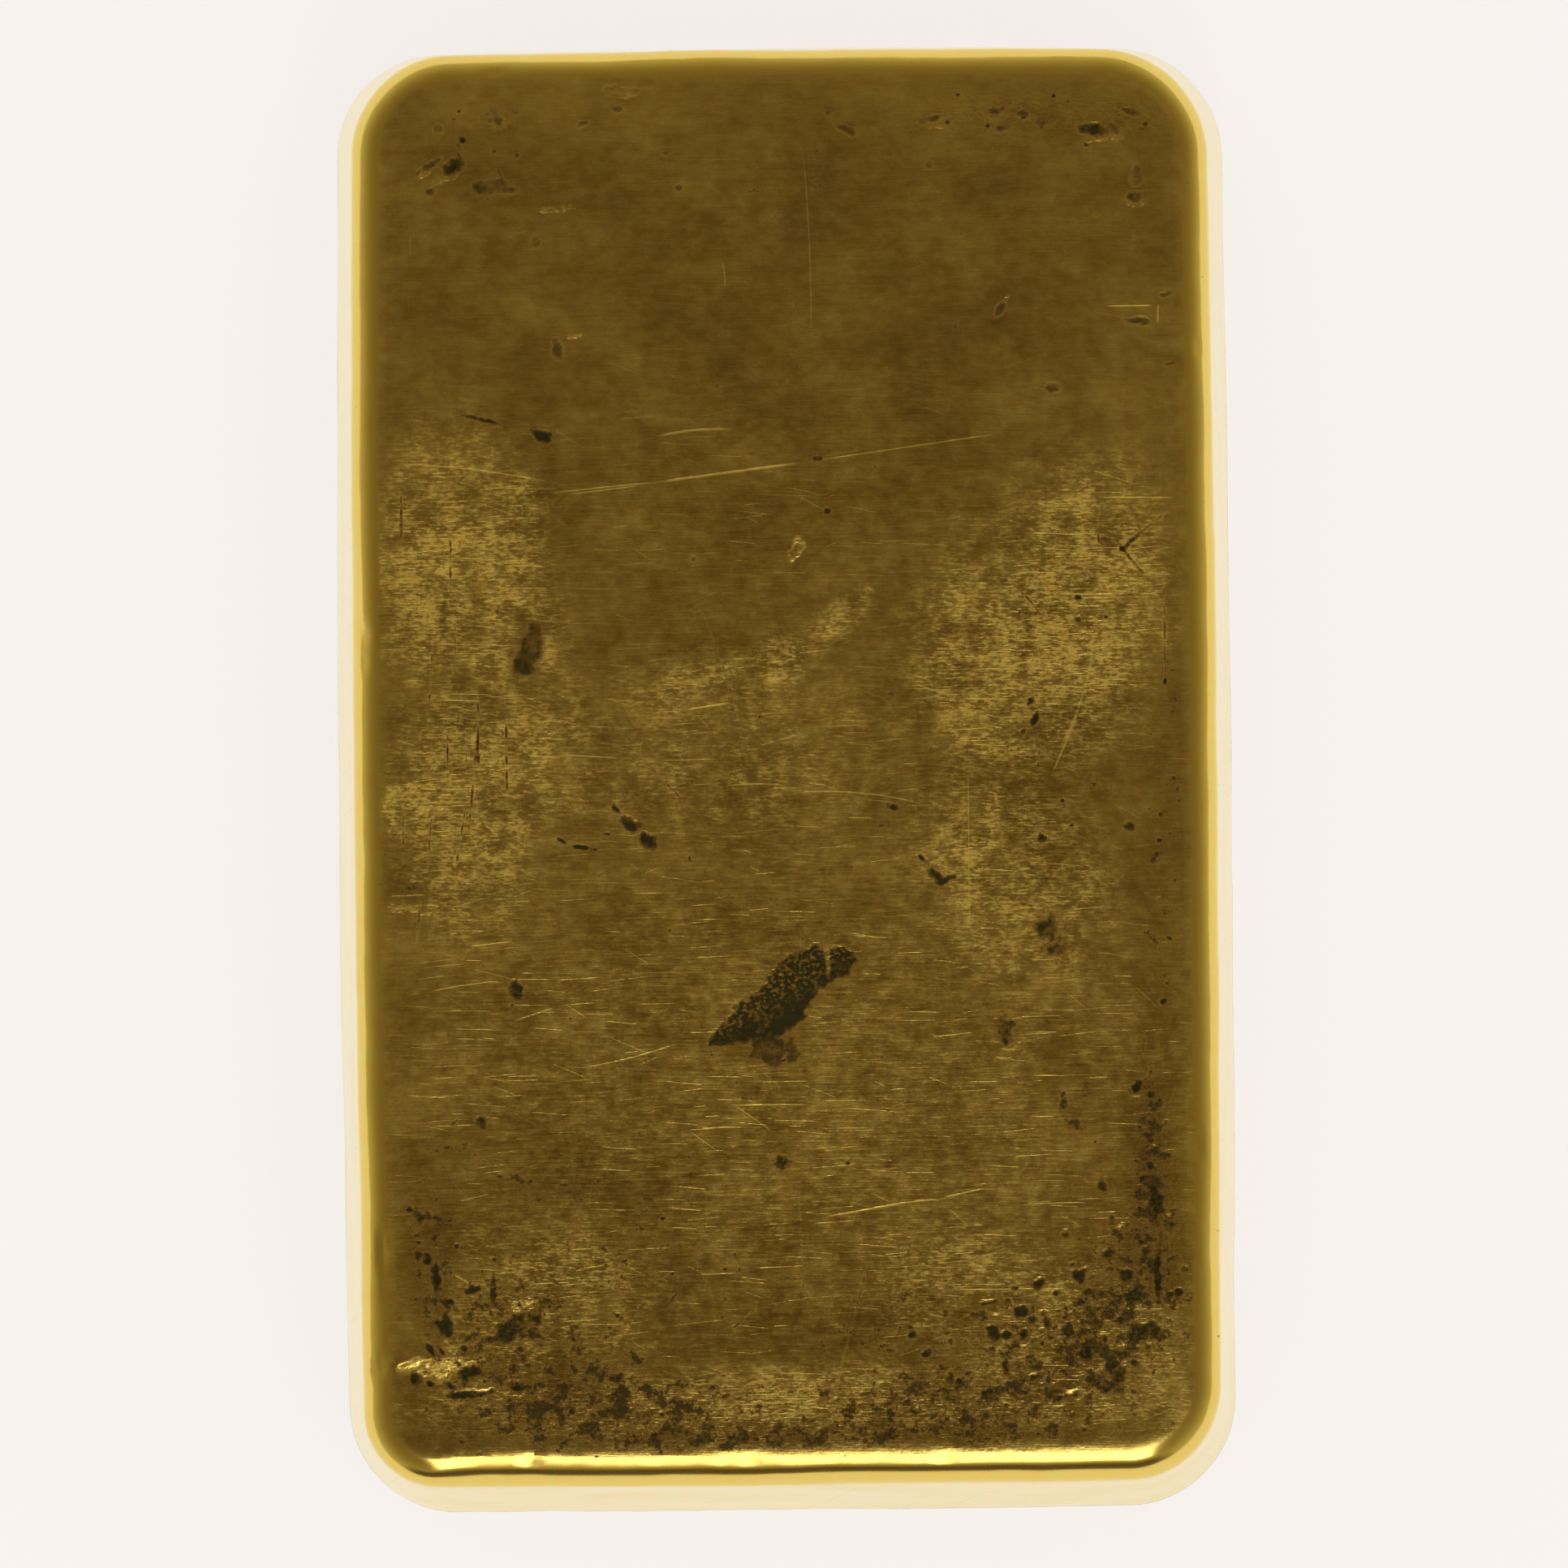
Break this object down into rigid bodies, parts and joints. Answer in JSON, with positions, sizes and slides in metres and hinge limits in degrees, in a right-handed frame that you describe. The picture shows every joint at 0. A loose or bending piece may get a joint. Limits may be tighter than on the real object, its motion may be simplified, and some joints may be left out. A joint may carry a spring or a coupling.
{
  "type": "metal ingot",
  "caption": "Small cast gold ingot: a flat rounded block with leaning walls, a plain mould face and a slightly sunk pour face.",
  "frame": {"origin": "middle of the footprint, on the surface the ingot rests on", "axes": "+Z up, out of the mould face; +Y along the length, away from the end whose corners are the sharpest; +X to the right seen from above with +Y up"},
  "size_m": [0.0304, 0.05, 0.009],
  "materials": {
    "gold": "as-cast fine gold: satin and scratched on the mould face, brighter on the walls and rounded edges"
  },
  "bodies": {
    "root": {"ingot": "gold"}
  },
  "joints": []
}
